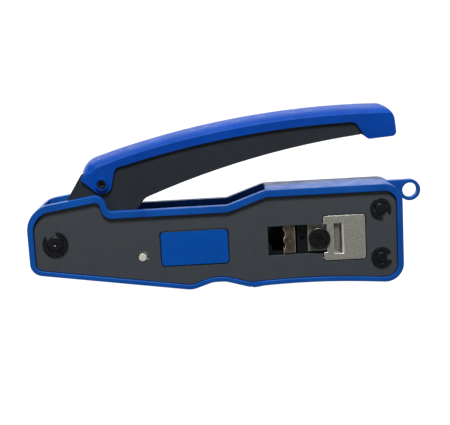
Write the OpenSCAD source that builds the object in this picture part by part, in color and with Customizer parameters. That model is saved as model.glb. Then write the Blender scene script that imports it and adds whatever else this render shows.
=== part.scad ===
// Modular plug crimping tool: a stapler-like frame with a lever on top.
// X runs from the pivot end to the lanyard ring, Y from the front face to
// the rear face, Z up.  The origin is at the middle of the underside.
// Outlines are lists of corners [x, z, radius], counter-clockwise.

/* [Frame] */
// Depth of the frame from front rim to rear rim
body_depth = 23.4; // [23:0.1:24.4]
// Width of the rim around the side plates
rim_width = 2.5; // [2.3:0.1:2.7]
// How far the side plates lie below the rim
rim_recess = 1.2; // [1.2:0.1:1.4]
// Thickness of the two side plates
side_plate_t = 2; // [1.8:0.1:2]
// Thickness of the frame's wall between the side plates
wall_t = 3.9; // [3.7:0.1:4]
// Outer radius of the lanyard ring
ring_r = 4.7; // [4.5:0.05:5]
// Radius of the lanyard ring's hole
ring_hole_r = 3.2; // [2.8:0.1:3.3]
// Thickness of the lanyard ring
ring_t = 3; // [2:0.5:5]

/* [Lever] */
// Thickness of each lever plate
lever_plate_t = 2; // [1.6:0.1:2]
// Depth of the moulded grip
grip_depth = 18.4; // [18.4:0.2:19.6]
// Height of the grip's crown above its side faces
crown_h = 3.6; // [3:0.1:3.6]
// Radius of the main pivot pin
pivot_r = 3.5; // [3:0.1:3.6]

/* [Mechanism] */
// Thickness of each link
link_t = 1.8; // [1.5:0.1:1.8]
// Radial clearance of a turning fit
fit = 0.05; // [0.03:0.01:0.08]
// Radial clearance of the links on the lever's link pin
loose_fit = 0.1; // [0.08:0.01:0.12]
// Gap between pieces that slide past each other
gap = 0.3; // [0.25:0.01:0.3]
// Width of the plug nest across the plug
plug_w = 12; // [11.9:0.1:12.1]
// Spacing of the contacts in a plug
contact_pitch = 1.02; // [1:0.01:1.04]
// Number of contacts pressed at once
contacts = 8; // [4:1:8]

/* [Hidden] */
$fn = 64;

// Depth stack, each value a distance from the middle plane
rim_y = body_depth / 2;
face_y = rim_y - rim_recess;
inner_y = face_y - side_plate_t;
lever_out_y = inner_y - gap;
lever_in_y = lever_out_y - lever_plate_t;
link_out_y = lever_in_y - gap;
link_in_y = link_out_y - link_t;
tongue_y = link_in_y - gap;
grip_y = grip_depth / 2;
grip_seat_y = 8.9; // where the grip screw's head and nut bear
nut_t = 1.4;
far = 30; // well past every outline
rails_y = 6.4; // half depth of the carriage's rails
ram_z = 20.8; // height of the ram's axis

// Axes that run along Y, as [x, z]
pivot = [-74.65, 24.5];
link_top = [-65.4, 36.4];
link_end = [-37.5, 16];
upper_pin = [66.5, 32.55];
lower_pin = [66.45, 11.05];
grip_bolt = [-52.9, 49.35];
tip_pin = [67, 68.6];
ring = [81, 38.3];
keeper = [-37.35, 16.4];
blade_bolt = [39.6, ram_z];
spring_stop = [-4, ram_z];
nest_bolts = [[57, ram_z - 7.4], [57, ram_z + 7.4]];
die_bolts = [[42.8, ram_z - 3.4], [42.8, ram_z + 3.4]];

// Sizes of pins and clips
frame_pin_r = 2.5;
pin_head_t = 1.1;
clip_t = 0.7;
clip_seat_y = face_y + clip_t;
pin_tip_y = rim_y - 0.1;
ram_pin_r = 1.95;
link_pin_r = 2;
grip_bolt_r = 1.25;
grip_head_r = 1.95;
grip_nut_r = 2.4;
grip_boss = [2.65, 3.2]; // radii of the raised rings round the grip screw's head and its nut
grip_boss_y = 10.4;
tip_pin_r = 1.5;
nest_bolt_r = 1.25;
nest_head_r = 2.4;
die_pin_r = 0.8;
blade_bolt_r = 1.1;
post_r = 2;
post_end_r = 1.2;
link_r = 4;
boss_r = 6.3;
bush_r = 5;
spacer_r = 3;

// Frame outline and the lever's channel through its top
body_corners = [
    [-86.25, 11.5, 5.5], [-16.5, 1, 9], [-7.3, 3.95, 8], [-1.8, 3.95, 8],
    [8.85, 0.82, 8], [34.7, 2.56, 340], [76, -0.645, 8], [76, 43.2, 8],
    [17, 43.2, 6], [0.5, 37.5, 4], [-50.9, 37.4, 2], [-52.75, 45.2, 4.8],
    [-86.25, 40.3, 11.5]
];
recess_drop = 0.57; // the rim is this much wider above the plates than its width, and narrower below
plate_gap = 0.3; // from a side plate's edge to the rim
channel_x0 = -79;
channel_x1 = 17.3;
channel_z = 32.1;

// Window, shear plate and ram opening
window = [17.4, 13.9, 41.8, 27.05];
tee = [41.6, 10.75, 59.6, 30.35];
tee_web_x = 43.1;
tee_tab = 3.5;
tee_t = 1.3;
tee_gap = 0.5;
slot = [45.95, 13.5, 49.5, 26.65];
plug = [46.4, ram_z - plug_w / 2, 53.6, ram_z + plug_w / 2];
latch = [53.5, ram_z - 3.1, 56.2, ram_z + 3.1];
badge = [-29.6, 11.6, 0.55, 27.55];
badge_depth = 1;
pin_sight = [-36.95, 16.8];
pin_sight_r = 2.5;
stripper = [24.2, 15.1, 29.2, 26.6];

// Ram carriage
stroke = 2.4;
head_x0 = 30.2;
head_x1 = 44;
anvil_x = 19.2;
carriage_z0 = ram_z - 8.7;
carriage_z1 = ram_z + 8.7;
opening_z0 = ram_z - 6;
opening_z1 = ram_z + 6.1;
head_front_y = -7.7;
head_rear_y = 8;
blade_t = 1.2;
die_x = 41.6;

// Rails that guide the carriage
rail_x0 = 20;
rail_x1 = 52;
rail_t = 2.6;

// Return spring
spring_x0 = -21.9;
spring_x1 = -6.1;
spring_r = 2.5;
wire_r = 0.4;
spring_turns = 6;

// Lever: large arcs as [x, z, radius] of their circles
crown_arc = [56.4, -301.3, 378.5];
clear_arc = [56.4, -301.3, 379.3]; // above the crown, which the envelope then cuts
skirt_arc = [59, -324.5, 394.7];
lower_arc = [94.2, -288.7, 355.1];
plate_top_arc = [56.4, -301.3, 374.7];

// Height of an arc's circle at x
function arc_z(arc, x) = arc[1] + sqrt(arc[2] * arc[2] - pow(x - arc[0], 2));
// Corners along an arc from x0 to x1 in n steps
function arc_run(arc, x0, x1, n) = [
    for (i = [0:n])
        let (x = x0 + (x1 - x0) * i / n)
        [x, arc_z(arc, x), 0]
];

grip_corners = concat(
    [[-63.05, 53, 1.2], [-50.5, 41.65, 4.2], [-46.65, 55.95, 2.8]],
    arc_run(skirt_arc, -43, 50, 12),
    [[56.8, 70.25, 3], [61.9, 62.55, 2.2], [74.5, 63.45, 2], [73, 78.2, 7.5]],
    arc_run(clear_arc, 64, -48.4, 8),
    [[-56.9, 60.6, 9]]
);

plate_corners = concat(
    [[-73.25, 18.4, 0.5], [-41, 34.3, 3], [-34.75, 42.1, 4]],
    arc_run(lower_arc, -33, 58.5, 12),
    [[70, 66.4, 2], [70, 72.6, 3]],
    arc_run(plate_top_arc, 62, -46, 12),
    [[-55.8, 56.1, 3], [-61.7, 53.6, 1], [-67.9, 43.9, 2], [-80.15, 27.6, 0],
     [-79.25, 20.2, 0]]
);

// Unit vector, corner rounding, inset
function unit(v) = v / norm(v);
function flat(p) = [p[0], p[1]];
function half_turn(a) = (a + 540) % 360 - 180;
function bend(a, p, b) = (p[0] - a[0]) * (b[1] - p[1]) - (p[1] - a[1]) * (b[0] - p[0]);
function corner(a, p, b, r) =
    r <= 0 ? [p] :
    let (
        u = unit(a - p),
        v = unit(b - p),
        half = acos(u * v) / 2,
        centre = p + unit(u + v) * r / sin(half),
        from = p + u * r / tan(half) - centre,
        to = p + v * r / tan(half) - centre,
        start = atan2(from[1], from[0]),
        sweep = half_turn(atan2(to[1], to[0]) - start),
        n = max(2, ceil(abs(sweep) / 8), ceil(abs(sweep) * r / 400))
    )
    [for (i = [0:n]) centre + r * [cos(start + sweep * i / n), sin(start + sweep * i / n)]];
function before(i, n) = (i + n - 1) % n;
function after(i, n) = (i + 1) % n;
function rounded(c) = [
    for (i = [0:len(c) - 1])
        each corner(flat(c[before(i, len(c))]), flat(c[i]), flat(c[after(i, len(c))]), c[i][2])
];
function inward(a, b) = unit([a[1] - b[1], b[0] - a[0]]);
function inset(c, d) = [
    for (i = [0:len(c) - 1])
        let (
            a = flat(c[before(i, len(c))]),
            p = flat(c[i]),
            b = flat(c[after(i, len(c))]),
            n0 = inward(a, p),
            n1 = inward(p, b),
            q = p + (n0 + n1) * d / (1 + n0 * n1),
            grown = bend(a, p, b) > 0 ? c[i][2] - d : c[i][2] + d
        )
        [q[0], q[1], c[i][2] == 0 ? 0 : max(grown, 0.4)]
];
function box_corners(b, r) = [
    [b[0], b[1], r], [b[2], b[1], r], [b[2], b[3], r], [b[0], b[3], r]
];
function grown_box(b, d) = [b[0] - d, b[1] - d, b[2] + d, b[3] + d];

// An outline given thickness from y0 to y1
module slab(y0, y1) {
    translate([0, y1, 0])
        rotate([90, 0, 0])
            linear_extrude(height = y1 - y0)
                children();
}

module shape(corners) {
    polygon(rounded(corners));
}

// The frame's outline moved inwards and then down
module recess(d) {
    translate([0, -recess_drop])
        shape(inset(body_corners, d));
}

module block(b, y0, y1) {
    translate([b[0], y0, b[1]])
        cube([b[2] - b[0], y1 - y0, b[3] - b[1]]);
}

module rod(at, r, y0, y1) {
    translate([at[0], y1, at[1]])
        rotate([90, 0, 0])
            cylinder(r = r, h = y1 - y0);
}

module cone(at, r0, r1, y0, y1) {
    translate([at[0], y1, at[1]])
        rotate([90, 0, 0])
            cylinder(r1 = r1, r2 = r0, h = y1 - y0);
}

module cross_recess(at, y0, y1, size) {
    for (turn = [0, 90])
        translate([at[0], 0, at[1]])
            rotate([0, turn + 20, 0])
                translate([-size / 2, y0, -size / 8])
                    cube([size, y1 - y0, size / 4]);
}

// Frame ------------------------------------------------------------------

module lanyard_ring() {
    wall_left = 0.35; // part of the wall's thickness the web doesn't reach into
    difference() {
        union() {
            rod(ring, ring_r, -ring_t / 2, ring_t / 2);
            slab(-ring_t / 2, ring_t / 2)
                polygon([
                    [68, ring[1] + ring_r - 0.15], ring + [0, ring_r],
                    ring + [0, 0], ring + [-3.2, -3.5], [74.9, 33.9], [68, 33.9]
                ]);
        }
        rod(ring, ring_hole_r, -far, far);
        slab(-far, far)
            shape(inset(body_corners, wall_t - wall_left));
    }
}

module frame_shell() {
    boss = 4.4;
    color([0.02, 0.25, 0.6])
        union() {
            difference() {
                slab(-rim_y, rim_y)
                    shape(body_corners);
                for (side = [-1, 1])
                    slab(side > 0 ? inner_y : -far, side > 0 ? far : -inner_y)
                        recess(rim_width);
                slab(-inner_y - 0.1, inner_y + 0.1)
                    shape(inset(body_corners, wall_t));
                block([channel_x0, channel_z, channel_x1, far * 2], -inner_y, inner_y);
            }
            lanyard_ring();
            for (at = [upper_pin, lower_pin])
                difference() {
                    intersection() {
                        union() {
                            rod(at, boss, -inner_y, inner_y);
                            block([at[0], at[1] - boss, 76, at[1] + boss], -inner_y, inner_y);
                        }
                        slab(-far, far)
                            shape(inset(body_corners, wall_t / 2));
                    }
                    rod(at, frame_pin_r, -far, far);
                }
        }
}

module side_plate_blank(y0, y1) {
    difference() {
        slab(y0, y1)
            recess(rim_width + plate_gap);
        rod(pivot, pivot_r, -far, far);
        rod(upper_pin, frame_pin_r, -far, far);
        rod(lower_pin, frame_pin_r, -far, far);
    }
}

module tee_outline() {
    difference() {
        shape(box_corners(tee, 1.2));
        translate([tee[0] - 1, tee[1] + tee_tab])
            square([tee_web_x - tee[0] + 1, tee[3] - tee[1] - 2 * tee_tab]);
    }
}

module front_side_plate() {
    color([0.23, 0.25, 0.275])
        difference() {
            side_plate_blank(-face_y, -inner_y);
            block(window, -far, 0);
            slab(-far, 0)
                shape(box_corners(grown_box(tee, tee_gap), 1.5));
            slab(-far, badge_depth - face_y)
                shape(box_corners(badge, 2));
            rod(pin_sight, pin_sight_r, -far, 0);
            rod(spring_stop, post_end_r, -far, 0);
        }
}

module rear_side_plate() {
    color([0.23, 0.25, 0.275])
        difference() {
            side_plate_blank(inner_y, face_y);
            block(plug, 0, far);
            block(latch, 0, far);
            rod(spring_stop, post_end_r, 0, far);
            for (at = nest_bolts)
                rod(at, nest_bolt_r + fit, 0, far);
        }
}

module badge_insert() {
    color([0.01, 0.27, 0.61])
        slab(-face_y - 0.1, badge_depth - face_y)
            shape(box_corners(grown_box(badge, -0.3), 1.7));
}

module frame_pin(at) {
    color([0.09, 0.1, 0.11])
        union() {
            rod(at, frame_pin_r, -face_y, face_y);
            rod(at, 1.9, -pin_tip_y, 0);
            cone(at, 1.9, 2.25, -pin_tip_y, 0.2 - pin_tip_y);
            rod(at, 2.25, 0.2 - pin_tip_y, -clip_seat_y);
            rod(at, 4, face_y, face_y + pin_head_t);
        }
}

module upper_frame_pin() {
    frame_pin(upper_pin);
}

module lower_frame_pin() {
    frame_pin(lower_pin);
}

module main_pivot_pin() {
    color([0.09, 0.1, 0.11])
        difference() {
            union() {
                rod(pivot, pivot_r, -face_y, face_y);
                rod(pivot, 2.7, -clip_seat_y, 0);
                cone(pivot, 2.9, 3.3, -pin_tip_y, 0.2 - pin_tip_y);
                rod(pivot, 3.3, 0.2 - pin_tip_y, -clip_seat_y);
                rod(pivot, 5, face_y, face_y + pin_head_t);
            }
            cone(pivot, 0.9, 0, -pin_tip_y, 0.8 - pin_tip_y);
        }
}

// Retaining clip with three lobes and an opening towards the angle given
module e_clip(at, outer, groove, opening) {
    bore = outer * 0.66;
    lobe = outer * 0.42;
    color([0.1, 0.11, 0.12])
        slab(-clip_seat_y, -face_y)
            translate(at)
                rotate(opening)
                    difference() {
                        circle(r = outer);
                        difference() {
                            circle(r = bore);
                            for (turn = [60, 180, 300])
                                rotate(turn)
                                    translate([groove, -lobe / 2])
                                        square([outer, lobe]);
                        }
                        circle(r = groove);
                        translate([0, -groove * 0.9])
                            square([outer + 1, groove * 1.8]);
                    }
}

module main_pivot_clip() {
    e_clip(pivot, 5.5, 2.7, 112);
}

module upper_frame_clip() {
    e_clip(upper_pin, 4.5, 1.9, -55);
}

module lower_frame_clip() {
    e_clip(lower_pin, 4.5, 1.9, 5);
}

module guide_rail(z0) {
    color([0.35, 0.36, 0.37])
        block([rail_x0, z0, rail_x1, z0 + rail_t], -inner_y, inner_y);
}

module upper_guide_rail() {
    guide_rail(carriage_z1 + gap);
}

module lower_guide_rail() {
    guide_rail(carriage_z0 - gap - rail_t);
}

module spring_post() {
    color([0.6, 0.6, 0.6])
        union() {
            rod(spring_stop, post_r, -inner_y, inner_y);
            rod(spring_stop, post_end_r, badge_depth - face_y + 0.05, face_y);
        }
}

// Stud in the front plate that keeps the ram pin from working forward
module pin_keeper() {
    stud_r = 1.7;
    flange_r = 3.4;
    flange_t = 1.4;
    color([0.82, 0.8, 0.74])
        union() {
            rod(keeper, stud_r, -face_y - 0.15, -inner_y);
            rod(keeper, flange_r, -inner_y, flange_t - inner_y);
        }
}

// Cutting and plug side ---------------------------------------------------

module shear_plate() {
    reach = 1.8 + gap;
    bevel = 0.45;
    color([0.51, 0.51, 0.49])
        difference() {
            slab(-face_y, tee_t - face_y)
                tee_outline();
            block(slot, -far, 0);
            block([slot[0], slot[1], slot[2] + bevel, slot[3] + bevel], -far, bevel - face_y);
            rod(blade_bolt + [stroke, 0], reach, -far, 0);
            for (at = nest_bolts)
                rod(at, nest_bolt_r, tee_t - face_y - 0.8, 0);
        }
}

module nest_block() {
    body = [plug[2], ram_z - 10.2, 61, ram_z + 10.2];
    foot = [plug[2], ram_z - 9.2, 59, ram_z + 9.2]; // reaches forward to the shear plate
    arm_x = 50;
    arm_spans = [[ram_z - 8.6, plug[1]], [plug[3], ram_z + 8.6]];
    lip = [48.8, plug[1] - 1, plug[2] + 1, plug[3] + 1]; // guides the wires past the blade
    latch_y = -5;
    color([0.4, 0.41, 0.42])
        difference() {
            union() {
                block(body, -inner_y, inner_y);
                block(foot, tee_t - face_y, inner_y);
                for (z = arm_spans)
                    block([arm_x, z[0], plug[2] + 1, z[1]], head_front_y, inner_y);
                block(lip, head_front_y + 0.35, head_front_y + 1.35);
            }
            block(latch, latch_y, far);
            for (at = nest_bolts)
                rod(at, nest_bolt_r, -far, far);
        }
}

module nest_screws() {
    color([0.12, 0.12, 0.13])
        for (at = nest_bolts)
            difference() {
                union() {
                    rod(at, nest_bolt_r, tee_t - face_y - 0.75, face_y);
                    rod(at, nest_head_r, face_y, face_y + 1);
                }
                cross_recess(at, face_y + 0.4, far, 2.6);
            }
}

// Fixed block whose notched edge scores the cable's jacket
module stripper_blade() {
    scallops = [[22.3, 18.1, 2.6], [21.9, 23, 3]];
    color([0.45, 0.38, 0.28])
        difference() {
            union() {
                block(stripper, -9.8, inner_y);
                for (side = [[-inner_y, -rails_y - gap], [rails_y + gap, inner_y]])
                    block([stripper[0], ram_z - 8.4, stripper[2], ram_z + 8.4], side[0], side[1]);
            }
            for (s = scallops)
                rod([s[0], s[1]], s[2], -far, far);
        }
}

// Ram ----------------------------------------------------------------------

module ram_carriage() {
    scoop_r = 4.2;
    spring_pocket = [-22, ram_z - 3.3, -1.6, ram_z + 3.3];
    crimp_pocket = [die_x, ram_z - 5.5, far * 2, ram_z + 5.5];
    strain_pocket = [die_x, ram_z - 4.5, far * 2, ram_z + 4.5];
    key_hole = [32.4, ram_z];
    color([0.1, 0.1, 0.115])
        difference() {
            union() {
                slab(-tongue_y, tongue_y)
                    shape([
                        [-42, 12.1, 3.6], [-20, 12.1, 1], [-20, 22.6, 1], [-32, 22.6, 3],
                        [-34, 20, 2], [-42, 20, 3.6]
                    ]);
                slab(-rails_y, rails_y)
                    shape([
                        [-31, ram_z - 6.5, 1], [4, ram_z - 6.5, 3], [8, carriage_z0, 3],
                        [head_x0 + 2, carriage_z0, 0], [head_x0 + 2, carriage_z1, 0],
                        [8, carriage_z1, 3], [4, ram_z + 6.5, 3], [-31, ram_z + 6.5, 1]
                    ]);
                block([head_x0, carriage_z0, head_x1, carriage_z1], head_front_y, head_rear_y);
            }
            block([anvil_x, opening_z0, head_x0, opening_z1], -far, far);
            rod([anvil_x + 2.4, ram_z], scoop_r, -far, far);
            block(spring_pocket, -far, far);
            rod(link_end, ram_pin_r, -far, far);
            rod(blade_bolt, blade_bolt_r, head_front_y - 1, 1);
            rod(key_hole, 0.9, head_front_y - 1, head_front_y + 1.5);
            block(crimp_pocket, -6.2, -3.8);
            block(strain_pocket, 4.2, 6.8);
            for (at = die_bolts)
                rod(at, die_pin_r, -far, far);
        }
}

module ram_pin() {
    color([0.6, 0.6, 0.6])
        rod(link_end, ram_pin_r, -link_out_y - 0.2, link_out_y + 0.2);
}

module cutter_blade() {
    front = head_front_y - blade_t;
    blade_z0 = ram_z - 5.85;
    blade_z1 = ram_z + 5.9;
    blade_x0 = 34.8;
    blade_x1 = 48.6;
    color([0.42, 0.42, 0.4])
        difference() {
            translate([0, 0, blade_z0])
                linear_extrude(height = blade_z1 - blade_z0)
                    polygon([
                        [blade_x0, front], [blade_x1, front], [blade_x1 - 1.6, head_front_y],
                        [blade_x0, head_front_y]
                    ]);
            rod(blade_bolt, blade_bolt_r, -far, 0);
        }
}

module blade_screw() {
    top = -face_y - 1.1;
    color([0.08, 0.085, 0.1])
        difference() {
            union() {
                rod(blade_bolt, blade_bolt_r, -face_y - 0.4, 0.9);
                rod(blade_bolt, 4.75, top + 0.25, -face_y - gap);
                cone(blade_bolt, 4.4, 4.75, top, top + 0.25);
            }
            difference() {
                rod(blade_bolt, 3.6, top - 1, top + 0.15);
                rod(blade_bolt, 3.2, top - 1, top + 1);
            }
            cross_recess(blade_bolt, -far, -face_y - gap - 0.1, 3.6);
        }
}

module blade_spacer() {
    color([0.5, 0.5, 0.5])
        difference() {
            rod(blade_bolt, 1.8, -face_y - gap, head_front_y - blade_t);
            rod(blade_bolt, blade_bolt_r, -far, far);
        }
}

module crimp_die() {
    tooth_t = 0.4;
    first_z = ram_z - contact_pitch * (contacts - 1) / 2;
    color([0.55, 0.55, 0.54])
        difference() {
            union() {
                block([die_x, ram_z - 5.4, head_x1, ram_z + 5.4], -6.15, -3.85);
                for (i = [0:contacts - 1])
                    block([head_x1 - 0.5, first_z + i * contact_pitch - tooth_t / 2,
                           46.2, first_z + i * contact_pitch + tooth_t / 2], -5.9, -4.1);
            }
            for (at = die_bolts)
                rod(at, die_pin_r, -far, far);
        }
}

module strain_die() {
    color([0.55, 0.55, 0.54])
        difference() {
            slab(4.25, 6.75)
                shape([
                    [die_x, ram_z - 4.4, 0.2], [45, ram_z - 4.4, 0.2], [46, ram_z - 3, 0.6],
                    [46, ram_z + 3, 0.6], [45, ram_z + 4.4, 0.2], [die_x, ram_z + 4.4, 0.2]
                ]);
            for (at = die_bolts)
                rod(at, die_pin_r, -far, far);
        }
}

module die_pins() {
    color([0.6, 0.6, 0.6])
        for (at = die_bolts)
            rod(at, die_pin_r, head_front_y + 0.1, head_rear_y - 0.1);
}

// One ring of the wire's section at a point of the spring, a fraction t along it
function coil_ring(t) =
    let (
        turn = t * 360 * spring_turns,
        at = [spring_x0 + wire_r + t * (spring_x1 - spring_x0 - 2 * wire_r),
              spring_r * cos(turn), spring_stop[1] + spring_r * sin(turn)],
        out = [0, cos(turn), sin(turn)]
    )
    [for (k = [0:7]) at + wire_r * (cos(k * 45) * out + sin(k * 45) * [1, 0, 0])];

module return_spring() {
    steps = spring_turns * 16;
    rings = [for (i = [0:steps]) each coil_ring(i / steps)];
    color([0.7, 0.7, 0.7])
        polyhedron(
            points = rings,
            faces = concat(
                [[for (k = [7:-1:0]) k]],
                [[for (k = [0:7]) steps * 8 + k]],
                [for (i = [0:steps - 1]) for (k = [0:7]) let (m = (k + 1) % 8)
                    each [[i * 8 + k, i * 8 + m, i * 8 + 8 + m],
                          [i * 8 + k, i * 8 + 8 + m, i * 8 + 8 + k]]]
            )
        );
}

// Links ----------------------------------------------------------------------

module link(y0, y1) {
    along = unit(link_end - link_top) * link_r;
    across = [-along[1], along[0]];
    end_r = link_r * 0.96;
    ends = [
        link_top - along - across, link_end + along - across,
        link_end + along + across, link_top - along + across
    ];
    color([0.45, 0.45, 0.45])
        difference() {
            slab(y0, y1)
                shape([for (p = ends) [p[0], p[1], end_r]]);
            rod(link_top, link_pin_r + loose_fit, -far, far);
            rod(link_end, ram_pin_r + fit, -far, far);
        }
}

module front_link() {
    link(-link_out_y, -link_in_y);
}

module rear_link() {
    link(link_in_y, link_out_y);
}

// Lever ------------------------------------------------------------------------

module lever_plate(y0, y1) {
    color([0.16, 0.175, 0.2])
        difference() {
            union() {
                rod(pivot, boss_r, y0, y1);
                slab(y0, y1)
                    shape(plate_corners);
            }
            rod(pivot, pivot_r + fit, -far, far);
            rod(link_top, link_pin_r, -far, far);
            rod(grip_bolt, grip_bolt_r, -far, far);
            rod(tip_pin, tip_pin_r, -far, far);
        }
}

module lever_front_plate() {
    lever_plate(-lever_out_y, -lever_in_y);
}

module lever_rear_plate() {
    lever_plate(lever_in_y, lever_out_y);
}

// Crown of the grip: an arched section swept along the grip's top arc
module crown_envelope() {
    arch_r = (grip_y * grip_y + crown_h * crown_h) / (2 * crown_h);
    half = asin(grip_y / arch_r);
    top = crown_arc[2];
    translate([crown_arc[0], 0, crown_arc[1]])
        rotate([90, 0, 0])
            rotate(60)
                rotate_extrude(angle = 60, $fn = 720)
                    polygon(concat(
                        [[top - 60, -grip_y], [top - 60, grip_y]],
                        [for (i = [6:-1:-6])
                            [top - arch_r + arch_r * cos(half * i / 6), arch_r * sin(half * i / 6)]]
                    ));
}

module lever_grip() {
    color([0.02, 0.26, 0.6])
        difference() {
            union() {
                intersection() {
                    slab(-grip_y, grip_y)
                        shape(grip_corners);
                    crown_envelope();
                }
                rod(grip_bolt, grip_boss[0], -grip_boss_y, 0);
                rod(grip_bolt, grip_boss[1], 0, grip_boss_y);
            }
            for (side = [-1, 1])
                slab(side > 0 ? lever_in_y : -lever_out_y, side > 0 ? lever_out_y : -lever_in_y)
                    shape(plate_corners);
            rod(grip_bolt, spacer_r, -lever_in_y, lever_in_y);
            rod(grip_bolt, grip_bolt_r, -far, far);
            rod(grip_bolt, grip_head_r, -far, -grip_seat_y);
            rod(grip_bolt, grip_nut_r, grip_seat_y, far);
            rod(tip_pin, tip_pin_r, -lever_out_y, lever_out_y);
        }
}

module grip_screw() {
    socket_t = 0.95;
    color([0.06, 0.06, 0.07])
        difference() {
            union() {
                rod(grip_bolt, grip_bolt_r, -grip_seat_y - 0.1, grip_seat_y + nut_t - 0.1);
                rod(grip_bolt, grip_head_r, -grip_boss_y + 0.35, -grip_seat_y);
            }
            translate([grip_bolt[0], socket_t - grip_boss_y + 0.35, grip_bolt[1]])
                rotate([90, 0, 0])
                    cylinder(r = 1.15, h = far, $fn = 6);
        }
}

module grip_nut() {
    color([0.1, 0.1, 0.11])
        difference() {
            translate([grip_bolt[0], grip_seat_y + nut_t, grip_bolt[1]])
                rotate([90, 0, 0])
                    cylinder(r = grip_nut_r - 0.1, h = nut_t, $fn = 6);
            rod(grip_bolt, grip_bolt_r, -far, far);
        }
}

module lever_spacer() {
    color([0.6, 0.6, 0.6])
        difference() {
            rod(grip_bolt, spacer_r, -lever_in_y, lever_in_y);
            rod(grip_bolt, grip_bolt_r, -far, far);
        }
}

module pivot_bush() {
    color([0.62, 0.5, 0.3])
        difference() {
            rod(pivot, bush_r, -lever_in_y, lever_in_y);
            rod(pivot, pivot_r + fit, -far, far);
        }
}

module lever_link_pin() {
    color([0.6, 0.6, 0.6])
        rod(link_top, link_pin_r, -lever_out_y, lever_out_y);
}

module tip_rivet() {
    color([0.6, 0.6, 0.6])
        rod(tip_pin, tip_pin_r, -lever_out_y, lever_out_y);
}

frame_shell();
front_side_plate();
rear_side_plate();
badge_insert();
shear_plate();
nest_block();
nest_screws();
stripper_blade();
main_pivot_pin();
main_pivot_clip();
upper_frame_pin();
lower_frame_pin();
upper_frame_clip();
lower_frame_clip();
upper_guide_rail();
lower_guide_rail();
spring_post();
pin_keeper();
return_spring();
lever_front_plate();
lever_rear_plate();
lever_grip();
grip_screw();
grip_nut();
lever_spacer();
pivot_bush();
lever_link_pin();
tip_rivet();
front_link();
rear_link();
ram_carriage();
ram_pin();
cutter_blade();
blade_screw();
blade_spacer();
crimp_die();
strain_die();
die_pins();
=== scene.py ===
"""Modular plug crimping tool: surfaces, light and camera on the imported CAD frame, in metres."""

import math

import bmesh
import bpy
from mathutils import Matrix, Vector


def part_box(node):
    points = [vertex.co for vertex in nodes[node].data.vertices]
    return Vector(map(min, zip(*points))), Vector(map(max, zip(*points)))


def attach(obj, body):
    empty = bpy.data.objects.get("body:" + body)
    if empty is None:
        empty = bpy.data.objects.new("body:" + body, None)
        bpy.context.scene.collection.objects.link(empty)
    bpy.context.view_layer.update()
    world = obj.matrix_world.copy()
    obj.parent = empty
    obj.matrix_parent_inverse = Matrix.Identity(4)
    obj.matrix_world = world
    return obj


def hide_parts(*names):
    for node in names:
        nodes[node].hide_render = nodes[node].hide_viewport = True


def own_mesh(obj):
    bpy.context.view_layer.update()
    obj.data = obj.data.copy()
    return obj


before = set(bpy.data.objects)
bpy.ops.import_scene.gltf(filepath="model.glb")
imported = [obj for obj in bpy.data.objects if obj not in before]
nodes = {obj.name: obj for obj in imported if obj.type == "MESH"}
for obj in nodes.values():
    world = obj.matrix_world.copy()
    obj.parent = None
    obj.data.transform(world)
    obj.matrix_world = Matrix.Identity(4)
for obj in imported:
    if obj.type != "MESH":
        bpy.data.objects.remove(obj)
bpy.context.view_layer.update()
MM = 0.001


# Geometry helpers ---------------------------------------------------------


def new_piece(name, mesh, body, *replaced):
    """A new object that rides on a body and stands for the CAD nodes named."""
    piece = bpy.data.objects.new(name, mesh)
    bpy.context.scene.collection.objects.link(piece)
    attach(piece, body)
    if replaced:
        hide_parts(*replaced)
    return piece


def mesh_of(bm, name):
    """The bmesh as a new mesh with outward normals."""
    bmesh.ops.recalc_face_normals(bm, faces=bm.faces)
    mesh = bpy.data.meshes.new(name)
    bm.to_mesh(mesh)
    bm.free()
    return mesh


def add_bevel(piece, width, segments=2, angle=30, edge_slot=-1, clamped=True):
    """Rounds the edges sharper than an angle in degrees, to a width in millimetres."""
    bevel = piece.modifiers.new("bevel", "BEVEL")
    bevel.width = width * MM
    bevel.segments = segments
    bevel.limit_method = "ANGLE"
    bevel.angle_limit = math.radians(angle)
    bevel.use_clamp_overlap = clamped
    bevel.miter_outer = "MITER_ARC"
    bevel.material = edge_slot


def add_soft_normals(piece):
    """Smooth shading that keeps the large flat faces flat."""
    for polygon in piece.data.polygons:
        polygon.use_smooth = True
    normals = piece.modifiers.new("normals", "WEIGHTED_NORMAL")
    normals.keep_sharp = False


def apply_modifiers(piece):
    """Puts the result of the piece's modifiers into its mesh."""
    shape = piece.evaluated_get(bpy.context.evaluated_depsgraph_get())
    mesh = bpy.data.meshes.new_from_object(shape)
    piece.modifiers.clear()
    piece.data = mesh


def combine(piece, tool_mesh, operation):
    """Adds a mesh's volume to the piece, or takes it out."""
    tool = bpy.data.objects.new("tool", tool_mesh)
    bpy.context.scene.collection.objects.link(tool)
    boolean = piece.modifiers.new("boolean", "BOOLEAN")
    boolean.operation = operation
    boolean.solver = "EXACT"
    boolean.object = tool
    apply_modifiers(piece)
    bpy.data.objects.remove(tool)


def rod_mesh(centre, radius, y0, y1):
    """A round bar along Y round the point (x, z)."""
    bm = bmesh.new()
    bmesh.ops.create_cone(
        bm, cap_ends=True, segments=48, radius1=radius, radius2=radius, depth=y1 - y0
    )
    place = Matrix.Translation((centre[0], (y0 + y1) / 2, centre[1]))
    bmesh.ops.transform(bm, matrix=place @ Matrix.Rotation(math.pi / 2, 4, "X"), verts=bm.verts)
    return mesh_of(bm, "rod")


def middle(node):
    """The middle of a node's box, seen from the front, as (x, z)."""
    low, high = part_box(node)
    return (low.x + high.x) / 2, (low.z + high.z) / 2


# Surfaces -------------------------------------------------------------------


def screen(red, green, blue):
    """A colour given in 8-bit screen values."""

    def linear(value):
        value /= 255
        return value / 12.92 if value < 0.04 else ((value + 0.055) / 1.055) ** 2.4

    return linear(red), linear(green), linear(blue), 1


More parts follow.
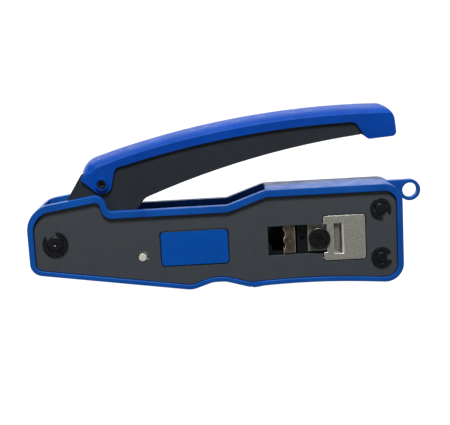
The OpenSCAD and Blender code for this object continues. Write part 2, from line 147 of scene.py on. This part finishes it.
class Surface:
    """A Principled material whose colour, roughness and bump are built up from noise."""

    def __init__(self, name, **sockets):
        self.material = bpy.data.materials.new(name)
        self.material.use_nodes = True
        self.tree = self.material.node_tree
        self.shader = self.tree.nodes["Principled BSDF"]
        self.place = self.tree.nodes.new("ShaderNodeTexCoord").outputs["Object"]
        self.normal = None
        for socket, value in sockets.items():
            self.shader.inputs[socket.replace("_", " ")].default_value = value

    def node(self, kind, **inputs):
        made = self.tree.nodes.new(kind)
        for socket, value in inputs.items():
            target = made.inputs[socket.replace("_", " ")]
            if isinstance(value, bpy.types.NodeSocket):
                self.tree.links.new(value, target)
            else:
                target.default_value = value
        return made

    def stretched(self, stretch):
        if stretch == (1, 1, 1):
            return self.place
        mapping = self.node("ShaderNodeMapping", Vector=self.place)
        mapping.inputs["Scale"].default_value = stretch
        return mapping.outputs["Vector"]

    def noise(self, size, detail=3, stretch=(1, 1, 1)):
        """Noise whose features are about the given size in millimetres."""
        made = self.node(
            "ShaderNodeTexNoise", Vector=self.stretched(stretch), Scale=1 / (size * MM), Detail=detail
        )
        return made.outputs["Fac"]

    def cells(self, size):
        """Distance to the nearest of scattered points the given size apart in millimetres."""
        made = self.node("ShaderNodeTexVoronoi", Vector=self.place, Scale=1 / (size * MM))
        return made.outputs["Distance"]

    def spread(self, factor, low, high, to_low=0.0, to_high=1.0):
        """Maps low..high of a factor to to_low..to_high, held at the ends."""
        made = self.node("ShaderNodeMapRange", Value=factor)
        made.inputs["From Min"].default_value = low
        made.inputs["From Max"].default_value = high
        made.inputs["To Min"].default_value = to_low
        made.inputs["To Max"].default_value = to_high
        return made.outputs["Result"]

    def mix(self, factor, first, second):
        """A colour between two others, each a colour or another mix."""
        made = self.tree.nodes.new("ShaderNodeMix")
        made.data_type = "RGBA"
        self.tree.links.new(factor, made.inputs[0])
        for socket, value in ((made.inputs[6], first), (made.inputs[7], second)):
            if isinstance(value, bpy.types.NodeSocket):
                self.tree.links.new(value, socket)
            else:
                socket.default_value = value
        return made.outputs[2]

    def paint(self, colour):
        self.tree.links.new(colour, self.shader.inputs["Base Color"])

    def rough(self, factor, low, high):
        """Roughness from low to high over the middle of the factor's range."""
        self.tree.links.new(self.spread(factor, 0.3, 0.7, low, high), self.shader.inputs["Roughness"])

    def bump(self, height, depth):
        """Adds relief of the given depth in millimetres."""
        made = self.node("ShaderNodeBump", Height=height, Distance=depth * MM)
        if self.normal is not None:
            self.tree.links.new(self.normal, made.inputs["Normal"])
        self.normal = made.outputs["Normal"]
        self.tree.links.new(self.normal, self.shader.inputs["Normal"])


def moulded(name, colour, deep, gloss=(0.34, 0.5)):
    """Moulded nylon: a fine spark-eroded grain, slow colour drift and a slightly wavy face."""
    made = Surface(name, Specular_IOR_Level=0.22, Specular_Tint=(0.7, 0.93, 1, 1))
    drift = made.mix(made.spread(made.noise(14, 4), 0.35, 0.65), deep, colour)
    made.paint(drift)
    made.rough(made.noise(5, 5), *gloss)
    made.bump(made.noise(0.35, 2), 0.012)
    made.bump(made.noise(9, 2), 0.05)
    return made.material


def coated(name, colour, worn, rough=(0.5, 0.62)):
    """Dark coating on steel: fine speckle, cloudy wear and a faint orange peel."""
    grain = 0.3
    made = Surface(name, Specular_IOR_Level=0.35, Metallic=0.15)
    speckle = made.spread(made.noise(grain, 2), 0.35, 0.7)
    cloud = made.spread(made.noise(11, 4), 0.45, 0.75, 0, 0.35)
    fine = tuple(0.8 * c for c in colour[:3]) + (1,)
    made.paint(made.mix(cloud, made.mix(speckle, fine, colour), worn))
    made.rough(made.noise(4, 4), *rough)
    made.bump(made.noise(grain, 2), 0.012)
    return made.material


def ground_steel(name, colour, dark, metallic=1.0):
    """Steel with fine parallel grinding lines."""
    made = Surface(name, Metallic=metallic)
    lines = made.noise(1.2, 4, stretch=(1, 1, 12))
    made.paint(made.mix(made.spread(lines, 0.35, 0.65), dark, colour))
    made.rough(made.noise(2.5, 4), 0.28, 0.42)
    made.bump(lines, 0.01)
    return made.material


def tumbled_steel(name, colour, dark, pale):
    """Sintered and tumbled steel: pitted, with pale and dark specks."""
    made = Surface(name, Metallic=0.75)
    base = made.mix(made.spread(made.noise(0.5, 5), 0.35, 0.65), dark, colour)
    specks = made.spread(made.cells(0.55), 0.12, 0.3, 1, 0)
    made.paint(made.mix(specks, base, pale))
    made.rough(made.noise(0.8, 4), 0.38, 0.6)
    made.bump(made.noise(0.4, 4), 0.03)
    return made.material


def plain_metal(name, colour, dark, metallic, rough):
    """Small hardware: cloudy colour and a little unevenness."""
    made = Surface(name, Metallic=metallic, Specular_IOR_Level=0.5)
    made.paint(made.mix(made.spread(made.noise(1.5, 4), 0.35, 0.65), dark, colour))
    made.rough(made.noise(0.7, 4), *rough)
    made.bump(made.noise(0.6, 3), 0.008)
    return made.material


frame_plastic = moulded("frame_plastic", screen(10, 70, 147), screen(7, 62, 135))
grip_plastic = moulded("grip_plastic", screen(0, 57, 142), screen(0, 52, 133))
badge_blue = moulded("badge", screen(0, 68, 150), screen(0, 64, 144), (0.4, 0.5))
# The badge's bevelled edges are coloured near-black blue: painted shade round the badge.
badge_shaded_edge = moulded("badge_shaded_edge", screen(0, 14, 34), screen(0, 10, 26))
coated_plate = coated("coated_plate", screen(58, 62, 67), screen(60, 62, 62))
# The side plates' bevelled edges get a lighter, glossier coat: partly rubbed-off wear, partly painted
# highlight.
coated_edge_wear_and_highlight = coated("coated_edge_wear_and_highlight", screen(74, 78, 84), screen(84, 84, 82), (0.4, 0.5))
lever_steel = coated("lever_steel", screen(28, 34, 41), screen(35, 40, 46))
# The lever plates' bevelled edges get a lighter, glossier coat: partly rubbed-off wear, partly painted
# highlight.
lever_edge_wear_and_highlight = coated("lever_edge_wear_and_highlight", screen(56, 62, 70), screen(70, 72, 75), (0.35, 0.5))
black_oxide = plain_metal("black_oxide", screen(15, 17, 21), screen(8, 9, 12), 0.3, (0.3, 0.5))
bright_steel = ground_steel("bright_steel", screen(176, 174, 166), screen(146, 144, 136))
blade_steel = ground_steel("blade_steel", screen(150, 148, 138), screen(124, 122, 114), 0.6)
# Pale, partly non-metallic steel that is painted highlight: the bright edges of the steel parts and
# the whole pin keeper, so they read as lit.
painted_highlight_steel = ground_steel("painted_highlight_steel", screen(226, 224, 214), screen(200, 198, 188), 0.4)
sintered_steel = tumbled_steel(
    "sintered_steel", screen(178, 178, 168), screen(144, 144, 135), screen(222, 222, 212)
)
stripper_bronze = plain_metal(
    "stripper_bronze", screen(122, 106, 88), screen(84, 74, 64), 0.8, (0.3, 0.5)
)
bush_brass = plain_metal(
    "bush_brass", screen(190, 160, 104), screen(160, 130, 84), 1.0, (0.3, 0.45)
)


# CAD nodes that keep their shape ----------------------------------------------


def dress(node, material, edge=0.12, edge_material=None):
    """Gives a CAD node its surface and softens its sharp edges."""
    part = nodes[node]
    part.data.materials.clear()
    part.data.materials.append(material)
    if edge_material:
        part.data.materials.append(edge_material)
    weld = part.modifiers.new("weld", "WELD")
    weld.merge_threshold = 0.002 * MM
    joined = part.modifiers.new("joined", "DECIMATE")
    joined.decimate_type = "DISSOLVE"
    joined.angle_limit = math.radians(0.5)
    add_bevel(part, edge, edge_slot=1 if edge_material else -1)
    add_soft_normals(part)


def dress_all():
    # The side plates' lighter edges are partly wear, partly painted highlight.
    dress("front_side_plate", coated_plate, 0.12, coated_edge_wear_and_highlight)
    dress("rear_side_plate", coated_plate, 0.05, coated_edge_wear_and_highlight)
    # The badge's edge slot carries the near-black painted shade.
    dress("badge_insert", badge_blue, 0.28, badge_shaded_edge)
    # The pale edges of the shear plate, stripper and cutter blade are painted highlight.
    dress("shear_plate", sintered_steel, 0.16, painted_highlight_steel)
    dress("stripper_blade", stripper_bronze, 0.12, painted_highlight_steel)
    dress("cutter_blade", blade_steel, 0.08, painted_highlight_steel)
    dress("pivot_bush", bush_brass)
    # The lever plates' lighter edges are partly wear, partly painted highlight.
    for node in ("lever_front_plate", "lever_rear_plate"):
        dress(node, lever_steel, 0.14, lever_edge_wear_and_highlight)
    for node in (
        "main_pivot_pin", "main_pivot_clip", "upper_frame_pin", "lower_frame_pin", "upper_frame_clip",
        "lower_frame_clip", "nest_screws", "grip_screw", "grip_nut", "blade_screw", "ram_carriage",
    ):
        dress(node, black_oxide, 0.1)
    for node in (
        "nest_block", "upper_guide_rail", "lower_guide_rail", "spring_post", "lever_spacer",
        "lever_link_pin", "tip_rivet", "front_link", "rear_link", "ram_pin", "blade_spacer",
        "crimp_die", "strain_die", "die_pins",
    ):
        dress(node, bright_steel, 0.1)
    # The pin keeper is all in the pale painted-highlight steel, so its end reads lit inside the
    # plate's hole.
    dress("pin_keeper", painted_highlight_steel, 0.15)


# Frame moulding -----------------------------------------------------------------


def frame_moulding():
    """The CAD shell with its edges eased."""
    bm = bmesh.new()
    bm.from_mesh(nodes["frame_shell"].data)
    bmesh.ops.remove_doubles(bm, verts=bm.verts, dist=0.01 * MM)
    piece = new_piece("frame_moulding", mesh_of(bm, "frame_moulding"), "frame", "frame_shell")
    piece.data.materials.clear()
    piece.data.materials.append(frame_plastic)
    add_bevel(piece, 0.22, segments=4, clamped=False)
    add_soft_normals(piece)


# Lever grip ---------------------------------------------------------------------

# Large arcs as (x, z, radius), and the grip's other sizes, all in millimetres
CROWN_ARC = (56.4, -301.3, 378.5)
SKIRT_ARC = (59.0, -324.5, 394.7)
CROWN_HEIGHT = 3.6
GRIP_HALF_DEPTH = 9.2
SCREW_SEAT_Y = 8.9
BOSS_Y = 10.4
FRONT_BOSS_RADIUS = 2.65
REAR_BOSS_RADIUS = 3.2
# The heel is the rounded pivot end, left of HEEL_X; its sections shrink towards its centre
HEEL_X = -55.4
HEEL_CENTRE = (-52.9, 51.5)
HEEL_ROUND = 4.6


def arc_run(arc, x0, x1, count):
    """Corners with no radius along a large arc."""
    middle_x, middle_z, radius = arc
    xs = [x0 + (x1 - x0) * i / count for i in range(count + 1)]
    return [(x, middle_z + math.sqrt(radius**2 - (x - middle_x) ** 2), 0) for x in xs]


def round_corner(before, here, after, radius):
    """Points of the fillet at one corner, no more than 6 degrees apart."""
    if radius <= 0:
        return [here]
    u = (before - here).normalized()
    v = (after - here).normalized()
    half = u.angle(v) / 2
    centre = here + (u + v).normalized() * radius / math.sin(half)
    start = here + u * radius / math.tan(half) - centre
    end = here + v * radius / math.tan(half) - centre
    turn = start.angle_signed(end)
    count = max(3, math.ceil(abs(turn) / math.radians(6)))
    spin = [Matrix.Rotation(-turn * i / count, 2) @ start for i in range(count + 1)]
    return [centre + arm for arm in spin]


def rounded(corners):
    """The outline through corners given as (x, z, radius)."""
    points = []
    for i, (x, z, radius) in enumerate(corners):
        before = Vector(corners[i - 1][:2])
        after = Vector(corners[(i + 1) % len(corners)][:2])
        points += round_corner(before, Vector((x, z)), after, radius)
    return points


def eased(value, low, high):
    """The share of the way from low to high, from 0 to 1, with soft ends."""
    share = min(1, max(0, (value - low) / (high - low)))
    return share * share * (3 - 2 * share)


def in_section(point, y, arch):
    """Where a point of the grip's outline lies in the section at y."""
    drop = arch - math.sqrt(arch**2 - y**2)
    round_drop = HEEL_ROUND * (1 - math.sqrt(max(0, 1 - (y / GRIP_HALF_DEPTH) ** 2)))
    heel = eased(-point.x, 45, 57)
    drop += heel * (round_drop - drop)
    if point.x > HEEL_X:
        centre = Vector(CROWN_ARC[:2])
        arm = point - centre
        return centre + arm * min(1, (CROWN_ARC[2] - drop) / arm.length)
    drop *= eased(point.y, 50.5, 58)
    return point + (Vector(HEEL_CENTRE) - point).normalized() * drop


def lever_grip():
    """A grip with an arched crown, lofted through sections across its depth."""
    corners = (
        [(-62.4, 51.8, 1.8), (-50.5, 41.65, 4.2), (-46.65, 55.95, 2.8)]
        + arc_run(SKIRT_ARC, -43, 50, 24)
        + [(56.8, 70.25, 3), (61.9, 62.55, 2.2), (74.5, 63.45, 2), (73.2, 76.5, 7.5)]
        + arc_run(CROWN_ARC, 64, -54.6, 32)
        + [(-59.8, 58.85, 9)]
    )
    outline = rounded(corners)
    arch = (GRIP_HALF_DEPTH**2 + CROWN_HEIGHT**2) / (2 * CROWN_HEIGHT)
    spread = math.asin(GRIP_HALF_DEPTH / arch)
    steps = 28
    bm = bmesh.new()
    rings = []
    for i in range(steps + 1):
        tilt = spread * math.sin(math.pi * (i / steps - 0.5))
        y = arch * math.sin(tilt)
        ring = []
        for point in outline:
            held = in_section(point, y, arch)
            ring.append(bm.verts.new((held.x * MM, y * MM, held.y * MM)))
        rings.append(ring)
    for first, second in zip(rings, rings[1:]):
        for k in range(len(outline)):
            m = (k + 1) % len(outline)
            bm.faces.new((first[k], first[m], second[m], second[k]))
    bm.faces.new(rings[0])
    bm.faces.new(reversed(rings[-1]))
    piece = new_piece("lever_grip_moulding", mesh_of(bm, "lever_grip_moulding"), "lever", "lever_grip")
    past_boss = 20
    for node, side, boss in (
        ("grip_screw", -1, FRONT_BOSS_RADIUS), ("grip_nut", 1, REAR_BOSS_RADIUS)
    ):
        low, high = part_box(node)
        hole_radius = (high.x - low.x) / 2 + 0.05 * MM
        raised = sorted((side * SCREW_SEAT_Y * MM, side * BOSS_Y * MM))
        hollow = sorted((side * SCREW_SEAT_Y * MM, side * past_boss * MM))
        combine(piece, rod_mesh(middle(node), boss * MM, *raised), "UNION")
        combine(piece, rod_mesh(middle(node), hole_radius, *hollow), "DIFFERENCE")
    piece.data.materials.clear()
    piece.data.materials.append(grip_plastic)
    add_bevel(piece, 0.45, segments=3, angle=24)
    add_soft_normals(piece)


# Return spring --------------------------------------------------------------------


def return_spring():
    """A round-wire coil that fills the CAD spring's box."""
    turns = 6
    wire = 0.4 * MM
    per_turn = 28
    sides = 10
    low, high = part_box("return_spring")
    radius = (high.z - low.z) / 2 - wire
    mid_z = (high.z + low.z) / 2
    x0 = low.x + wire
    x1 = high.x - wire
    bm = bmesh.new()
    rings = []
    for i in range(turns * per_turn + 1):
        share = i / (turns * per_turn)
        angle = 2 * math.pi * turns * share
        out = Vector((0, math.cos(angle), math.sin(angle)))
        at = Vector((x0 + share * (x1 - x0), 0, mid_z)) + radius * out
        ring = []
        for k in range(sides):
            around = 2 * math.pi * k / sides
            arm = math.cos(around) * out + Vector((math.sin(around), 0, 0))
            ring.append(bm.verts.new(at + wire * arm))
        rings.append(ring)
    for first, second in zip(rings, rings[1:]):
        for k in range(sides):
            m = (k + 1) % sides
            bm.faces.new((first[k], first[m], second[m], second[k]))
    bm.faces.new(rings[0])
    bm.faces.new(reversed(rings[-1]))
    piece = new_piece("spring_coil", mesh_of(bm, "spring_coil"), "frame", "return_spring")
    piece.data.materials.append(bright_steel)
    for polygon in piece.data.polygons:
        polygon.use_smooth = True
    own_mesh(piece)


# Stage ------------------------------------------------------------------------------


def white_floor():
    """A pale floor that reads as white paper to the camera and lights little of the object."""
    bpy.ops.mesh.primitive_plane_add(size=16)
    floor = bpy.context.object
    floor.name = "floor"
    made = bpy.data.materials.new("paper")
    made.use_nodes = True
    tree = made.node_tree
    shader = tree.nodes["Principled BSDF"]
    shader.inputs["Base Color"].default_value = (0.06, 0.06, 0.06, 1)
    shader.inputs["Roughness"].default_value = 0.9
    shader.inputs["Specular IOR Level"].default_value = 0.1
    path = tree.nodes.new("ShaderNodeLightPath")
    glow = tree.nodes.new("ShaderNodeEmission")
    glow.inputs["Strength"].default_value = 1.05
    added = tree.nodes.new("ShaderNodeAddShader")
    chosen = tree.nodes.new("ShaderNodeMixShader")
    tree.links.new(shader.outputs[0], added.inputs[0])
    tree.links.new(glow.outputs[0], added.inputs[1])
    tree.links.new(path.outputs["Is Camera Ray"], chosen.inputs[0])
    tree.links.new(shader.outputs[0], chosen.inputs[1])
    tree.links.new(added.outputs[0], chosen.inputs[2])
    tree.links.new(chosen.outputs[0], tree.nodes["Material Output"].inputs["Surface"])
    floor.data.materials.append(made)


def white_room(seen, lit):
    """A white background, with its own strength where it only lights the object."""
    world = bpy.data.worlds.new("room")
    bpy.context.scene.world = world
    world.use_nodes = True
    tree = world.node_tree
    background = tree.nodes["Background"]
    background.inputs["Color"].default_value = (1, 1, 1, 1)
    path = tree.nodes.new("ShaderNodeLightPath")
    strength = tree.nodes.new("ShaderNodeMapRange")
    tree.links.new(path.outputs["Is Camera Ray"], strength.inputs["Value"])
    strength.inputs["To Min"].default_value = lit
    strength.inputs["To Max"].default_value = seen
    tree.links.new(strength.outputs["Result"], background.inputs["Strength"])


def softbox(name, location, target, size, power):
    """A rectangular lamp aimed at a point, with its size in metres and its power in watts."""
    light = bpy.data.lights.new(name, "AREA")
    light.shape = "RECTANGLE"
    light.size, light.size_y = size
    light.energy = power
    lamp = bpy.data.objects.new(name, light)
    lamp.location = location
    lamp.rotation_euler = (Vector(target) - Vector(location)).to_track_quat("-Z", "Y").to_euler()
    lamp.visible_camera = False
    bpy.context.scene.collection.objects.link(lamp)


def studio():
    """A steep key lamp, lamps behind for the glossy tops, and weak fills from the sides."""
    target = (0, 0, 0.04)
    white_floor()
    white_room(seen=1.1, lit=0.04)
    softbox("key", (-0.05, -0.45, 0.8), target, (0.3, 0.25), 14)
    softbox("back", (0, 0.9, 0.25), target, (2.4, 0.6), 6.5)
    softbox("strip", (0, 0.65, 0.75), target, (1.6, 0.12), 6.5)
    for name, x in (("left fill", -0.7), ("right fill", 0.7)):
        softbox(name, (x, -0.75, 0.16), target, (0.5, 0.3), 1.2)


def camera():
    """A long lens, a little above the object and rolled slightly."""
    lens = bpy.data.cameras.new("camera")
    lens.lens = 80
    lens.sensor_width = 36
    lens.clip_start = 0.01
    holder = bpy.data.objects.new("camera", lens)
    place = Matrix.Translation((-0.0006, -0.43464, 0.11217))
    tilt = Matrix.Rotation(math.radians(79.6), 4, "X")
    roll = Matrix.Rotation(math.radians(-3.1), 4, "Z")
    holder.matrix_world = place @ tilt @ roll
    bpy.context.scene.collection.objects.link(holder)
    bpy.context.scene.camera = holder


camera()
studio()
dress_all()
frame_moulding()
lever_grip()
return_spring()
bpy.context.scene.view_settings.view_transform = "Standard"
